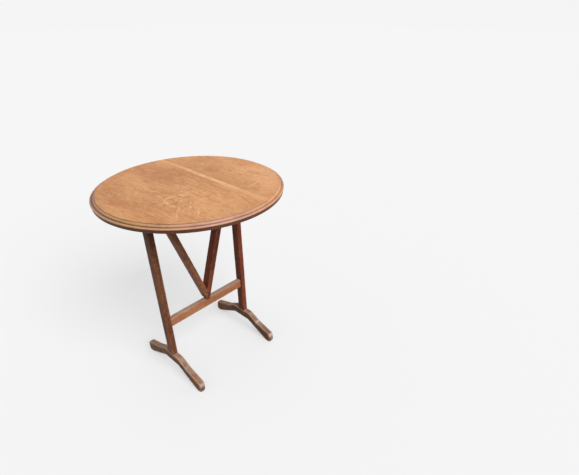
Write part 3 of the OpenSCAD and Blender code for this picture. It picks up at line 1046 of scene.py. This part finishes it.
def makeWideOak(p):
    material, shader, place = newMaterial("wideBoardOak")
    kx, ky = knot["place"]
    centre = (kx, ky, faceZ)
    swell = spot(place, centre, (0.075, 0.11), 0.25)
    grain = use(oakGrain, Vector=place, Rings=88.0, Heart=-0.012, Depth=-0.685, Slope=-0.16, Wander=0.05,
                Bulge=swell * 0.055)
    swirl = spot(place, (kx + 0.012, ky + 0.040), (0.10, 0.17), 0.4)
    tone = boardBase(grain, place, p, wideTones, span(swirl, 0.0, 0.7, 0.15, 0.42))
    # curled figure beside the knot: faint broken curls, then the strokes that stand out
    curly = spot(place, (kx + 0.020, ky + 0.030), (0.095, 0.115), 0.5)
    figure = cloud(place, (34, 26, 34), 1.0, 0.5, 1.6)
    for level, name, strength in ((0.50, "ray", 0.40), (0.40, "brown", 0.25), (0.62, "ray", 0.30)):
        line = span(calc("ABSOLUTE", figure - level), 0.0, 0.075, 1.0, 0.0)
        broken = span(cloud(place, 40.0, 1.0), 0.42, 0.52)
        tone = tint(line * broken * (curly * strength), tone, p[name])
    tone = drawCurls(place, tone, wideCurls, p)
    # the knot: dark rings round a split eye
    near = placed(vectorCalc("SUBTRACT", place, centre), turn=(0, 0, 0.5), scale=(1.25, 0.85, 0.0))
    reach = vectorCalc("LENGTH", near, out=1)
    ringed = span(calc("FRACT", reach * 260.0 + cloud(place, 34.0) * 2.6), 0.45, 0.95)
    core = span(reach, knot["size"] * 0.3, knot["size"], 1.0, 0.0)
    eye = spot(place, centre, (0.004, knot["eye"]), 0.6)
    tone = stain(tone, p, (ringed * core * 0.28, "brown"),
                 (span(reach, 0.004, 0.020, 1.0, 0.0) * 0.30, "brown"), (eye * 0.75, "grey"))
    for middle, size in pits:
        tone = tint(spot(place, middle, (size * mm, size * 1.5 * mm), 0.5) * 0.85, tone, p["grime"])
    finishTop(shader, place, tone, grain, p)
    return material


def makeNarrowOak(p):
    material, shader, place = newMaterial("narrowBoardOak")
    grain = use(oakGrain, Vector=place, Rings=165.0, Heart=-0.30, Depth=-0.66, Slope=0.03, Wander=0.05)
    tone = boardBase(grain, place, p, narrowTones, 0.20)
    # medullary rays: short pale flakes across the grain, thickest along one band
    x, y, z = split(place)
    bent = placed(place, turn=(0, 0, 0.18), scale=(58, 130, 1))
    flakes = span(cloud(bent, 1.0, 2.0, 0.45, 0.6), 0.60, 0.70)
    thick = spot(place, (0.180, -0.060), (0.055, 0.21), 0.6) * 0.75 + 0.10
    tone = drawCurls(place, tint(flakes * thick, tone, p["ray"]), narrowCurls, p)
    # a sapwood band along the joint, wider towards the front, crossed by paler cells
    uneven = (cloud(place, (1, 9, 1), 3.0) - 0.5) * 0.008
    width = y * -0.014 + (uneven + 0.0175)
    inBand = span(x - jointX - width, -0.0012, 0.0012, 1.0, 0.0)
    cells = cloud(place, (8, 46, 1), 1.0)
    paleCells = span(cells, 0.50, 0.56) * spot(place, (jointX + 0.01, -0.02), (0.05, 0.27), 0.1)
    band = stain(p["sapwood"], p, (paleCells * 0.7, "sapPale"),
                 (span(grain["Fibres"], 0.40, 0.66) * 0.45, "body"))
    finishTop(shader, place, tint(inBand * 0.90, tone, band), grain, p)
    return material


wideBoard.data.materials.append(makeWideOak(topOak))
narrowBoard.data.materials.append(makeNarrowOak(topOak))


# oak of the frame

alongX = (0, 0, math.pi / 2)
alongY = (0, 0, 0)
alongZ = (-math.pi / 2, 0, 0)

darkPaints = {
    "body": (122, 73, 47),
    "dark": (76, 43, 28),
    "pale": (150, 98, 67),
    "worn": (172, 124, 92),
    # deep is laid only as painted shade on the uprights and arms
    "deep": (38, 20, 13),
    "grime": (30, 17, 12),
    "gloss": 0.48,
    "sheen": 0.07,
}
redPaints = {"body": (136, 66, 44), "pale": (160, 88, 60), "dark": (94, 44, 30), "worn": (160, 98, 72)}
rustPaints = {"body": (126, 62, 40), "pale": (150, 84, 56), "dark": (84, 40, 26)}
warmPaints = {"body": (142, 88, 60), "pale": (166, 112, 80), "dark": (98, 58, 39)}
darkOak = mixPaints(darkPaints)
redOak = mixPaints({**darkPaints, **redPaints})
rustOak = mixPaints({**darkPaints, **rustPaints})
warmOak = mixPaints({**darkPaints, **warmPaints})
stretcherOak = mixPaints({
    "body": (190, 126, 86),
    "dark": (146, 90, 59),
    "pale": (206, 142, 100),
    "worn": (200, 158, 130),
    "dust": (176, 152, 136),
    "grime": (70, 42, 28),
    "gloss": 0.46,
    "sheen": 0.15,
})
footOak = mixPaints({
    "body": (116, 80, 57),
    "dark": (72, 47, 34),
    "pale": (152, 114, 88),
    "worn": (190, 156, 134),
    "grime": (50, 34, 26),
    "gold": (160, 122, 88),
    "rose": (168, 138, 124),
    "rust": (154, 100, 70),
    "brown": (96, 62, 46),
    "dust": (190, 156, 134),
    # rubbed wood, and also a painted highlight on the ridge at the break and on the top edge of the noses
    "bareAndHighlight": (216, 192, 178),
    "gloss": 0.60,
    "sheen": 0.10,
})


def makeBarOak(name, p, grainTurn, shift, lean=0.0, wornAmount=0.42, tones=(), dust=0.0, marksLaid=()):
    # tones are laid along the bar, marksLaid over the dust: middle, half sizes, colour and strength; on the
    # uprights and arms the tones are painted shade under the table top and painted light at mid-height
    # dust is how pale and dry the faces are that point up; with any dust the faces that point sideways and
    # down also get painted shade
    material, shader, place = newMaterial(name)
    along = placed(placed(place, turn=(0, lean, 0)), place=(shift, shift * 1.7, shift * 0.6), turn=grainTurn)
    grain = use(oakGrain, Vector=along, Rings=150.0, Heart=shift + 0.03, Depth=0.06, Slope=0.02, Wander=0.03)
    slow = cloud(along, (22, 6, 22), 4.0, 0.6)
    tone = tint(0.40, tint(span(slow, 0.34, 0.66), p["dark"], p["pale"]), p["body"])
    tone = layTones(place, tone, tones, p, 0.4)
    mottle = cloud(along, (150, 60, 150), 3.0, 0.6)
    marks = use(handling, Vector=along)
    tone = stain(
        tone, p,
        (grain["Rings"] * 0.32, "dark"),
        (span(mottle, 0.52, 0.64, 0.0, 0.55), "dark"),
        (span(mottle, 0.46, 0.34, 0.0, 0.40), "pale"),
        (span(grain["Fibres"], 0.44, 0.66) * 0.45, "dark"),
        (span(grain["Fibres"], 0.50, 0.34) * 0.35, "pale"),
        (grain["Pores"] * 0.50, "grime"),
        (marks["Scuffs"] * 0.10, "worn"),
        (marks["Specks"] * 0.6, "grime"))
    if dust:
        up = split(Wire(put(place.tree, "ShaderNodeNewGeometry").outputs["Normal"]))[2]
        dusty = span(cloud(place, 34.0, 5.0, 0.65), 0.34, 0.66, dust - 0.28, dust + 0.28)
        # faces that point up get dust; faces that point sideways and down get the dark colour as painted
        # shade
        tone = stain(tone, p, (span(up, 0.35, 0.85) * dusty, "dust"),
                     (span(up, 0.30, -0.20, 0.0, 0.35), "dark"))
    tone = layTones(place, tone, marksLaid, p, 0.5)
    worn = use(wornEdge, Vector=place, Edge=mark(place.tree, "edge"), Amount=wornAmount)["Mask"]
    tone = tint(worn * 0.60, tone, p["worn"])
    gloss = marks["Scuffs"] * 0.14 + p["gloss"] + marks["Scratches"] * 0.10
    height = grain["Height"] - marks["Scratches"] * 0.6 - marks["Specks"] * 1.5
    inputs = {"Base Color": tone, "Roughness": gloss, "Specular IOR Level": p["sheen"]}
    dressShader(shader, inputs, height, 0.0002, 0.6)
    return material


wide = 0.5        # a half size that takes in the whole of a bar's section
leftX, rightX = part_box("foot_left")[0].x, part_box("foot_right")[1].x
# painted shade under the table top and painted light at mid-height on each upright; the right upright's inner
# face, which faces the other upright, also gets painted shade
leftShadeAndLight = [
    ((leftX, 0, 0.70), (wide, wide, 0.32), "deep", 0.90),
    ((leftX, -0.02, 0.40), (wide, wide, 0.17), "pale", 0.55),
]
rightShadeAndLight = [
    ((rightX, 0, 0.72), (wide, wide, 0.22), "deep", 0.35),
    ((rightX, -0.02, 0.42), (wide, wide, 0.16), "pale", 0.65),
    ((innerX, 0, 0.45), (0.011, 5.0, 5.0), "deep", 0.45),
]
# painted shade on the arms: darker towards their top, under the table top
armShade = [((0, 0, 0.70), (wide, wide, 0.20), "deep", 0.50)]
footLeftTones = [
    ((leftX, -0.030, 0.087), (0.1, 0.045, 0.06), "gold", 0.80),
    ((leftX, 0.060, 0.075), (0.1, 0.035, 0.08), "gold", 0.50),
    ((leftX, -0.100, 0.060), (0.1, 0.045, 0.10), "rose", 0.45),
    ((leftX, -0.145, 0.040), (0.1, 0.040, 0.10), "rust", 0.75),
    ((leftX, 0.130, 0.040), (0.1, 0.090, 0.10), "pale", 0.75),
]
footRightTones = [
    ((rightX, -0.030, 0.087), (0.1, 0.045, 0.06), "gold", 0.70),
    ((rightX, -0.095, 0.060), (0.1, 0.040, 0.10), "rose", 0.50),
    ((rightX, -0.145, 0.040), (0.1, 0.045, 0.10), "brown", 0.60),
    ((rightX, 0.130, 0.040), (0.1, 0.090, 0.10), "rust", 0.90),
]
# laid over the dust: browner toes, a painted highlight along the ridge at the break, and rubbed noses with a
# painted highlight on their top edge
leftMarks = [
    ((leftX, -0.145, 0.040), (0.1, 0.045, 0.10), "rust", 0.35),
    ((leftX, -0.173, 0.034), (0.1, 0.008, 0.014), "bareAndHighlight", 0.55),
]
rightMarks = [
    ((rightX, -0.142, 0.040), (0.1, 0.045, 0.10), "brown", 0.55),
    ((rightX, -0.092, 0.063), (0.1, 0.005, 0.02), "bareAndHighlight", 0.85),
    ((rightX, -0.172, 0.035), (0.1, 0.009, 0.016), "bareAndHighlight", 0.95),
    ((rightX, 0.172, 0.032), (0.1, 0.010, 0.012), "bareAndHighlight", 0.40),
]
lean = supportShape["armAngle"]
# each piece with its material's name, palette, direction of the grain, place in the log and other values
dress = [
    (uprightLeft, "uprightLeftOak", darkOak, alongZ, 0.31, {"tones": leftShadeAndLight}),
    (uprightRight, "uprightRightOak", redOak, alongZ, 0.77, {"tones": rightShadeAndLight}),
    (stretcherBar, "stretcherOak", stretcherOak, alongX, 0.13, {"wornAmount": 0.46, "dust": 0.66}),
    (footLeft, "footLeftOak", footOak, alongY, 0.45,
     {"wornAmount": 0.58, "tones": footLeftTones, "dust": 0.43, "marksLaid": leftMarks}),
    (footRight, "footRightOak", footOak, alongY, 0.92,
     {"wornAmount": 0.58, "tones": footRightTones, "dust": 0.43, "marksLaid": rightMarks}),
    (armLeft, "armLeftOak", warmOak, alongZ, 0.21, {"lean": lean, "tones": armShade}),
    (armRight, "armRightOak", rustOak, alongZ, 0.63, {"lean": -lean, "tones": armShade}),
    (crossbar, "crossbarOak", warmOak, alongX, 0.53, {}),
    (battenFront, "battenFrontOak", warmOak, alongX, 0.84, {}),
    (battenRear, "battenRearOak", warmOak, alongX, 0.18, {}),
    (cleatLeft, "cleatLeftOak", darkOak, alongY, 0.36, {}),
    (cleatRight, "cleatRightOak", darkOak, alongY, 0.71, {}),
]
for piece, name, palette, grainTurn, shift, more in dress:
    piece.data.materials.append(makeBarOak(name, palette, grainTurn, shift, **more))


# pegs, pins and screws

pegOak = mixPaints({"pale": (96, 58, 40), "dark": (44, 26, 19), "gloss": 0.5})
iron = mixPaints({"bright": (92, 86, 80), "dark": (38, 34, 32), "rust": (92, 52, 34)})


def makePegOak(p):
    # end grain: specks of open pores over a mottled dark tone
    material, shader, place = newMaterial("pegOak")
    mottle = cloud(place, 260.0, 4.0, 0.6)
    pores = span(cloud(place, 1700.0, 1.0), 0.56, 0.66)
    tone = stain(p["dark"], p, (span(mottle, 0.35, 0.65), "pale"), (pores * 0.6, "dark"))
    inputs = {"Base Color": tone, "Roughness": span(mottle, 0.3, 0.7, p["gloss"], p["gloss"] + 0.15)}
    dressShader(shader, inputs, mottle - pores, 0.0002, 0.6)
    return material


def makeIron(p):
    material, shader, place = newMaterial("agedIron")
    mottle = cloud(place, 420.0, 4.0, 0.6)
    rust = span(cloud(place, 160.0, 5.0, 0.7), 0.52, 0.64)
    tone = stain(p["dark"], p, (span(mottle, 0.35, 0.65), "bright"), (rust * 0.75, "rust"))
    inputs = {"Base Color": tone, "Metallic": span(rust, 0.0, 1.0, 0.95, 0.15),
              "Roughness": span(mottle, 0.3, 0.7, 0.42, 0.62)}
    dressShader(shader, inputs, mottle, 0.00015, 0.5)
    return material


solidMaterials = {"peg_oak": makePegOak(pegOak), "iron": makeIron(iron)}
for node, solid in frame["nodes"].items():
    if slotOf[node] in solidMaterials:
        solid.material_slots[0].material = solidMaterials[slotOf[node]]
print("materials ready")
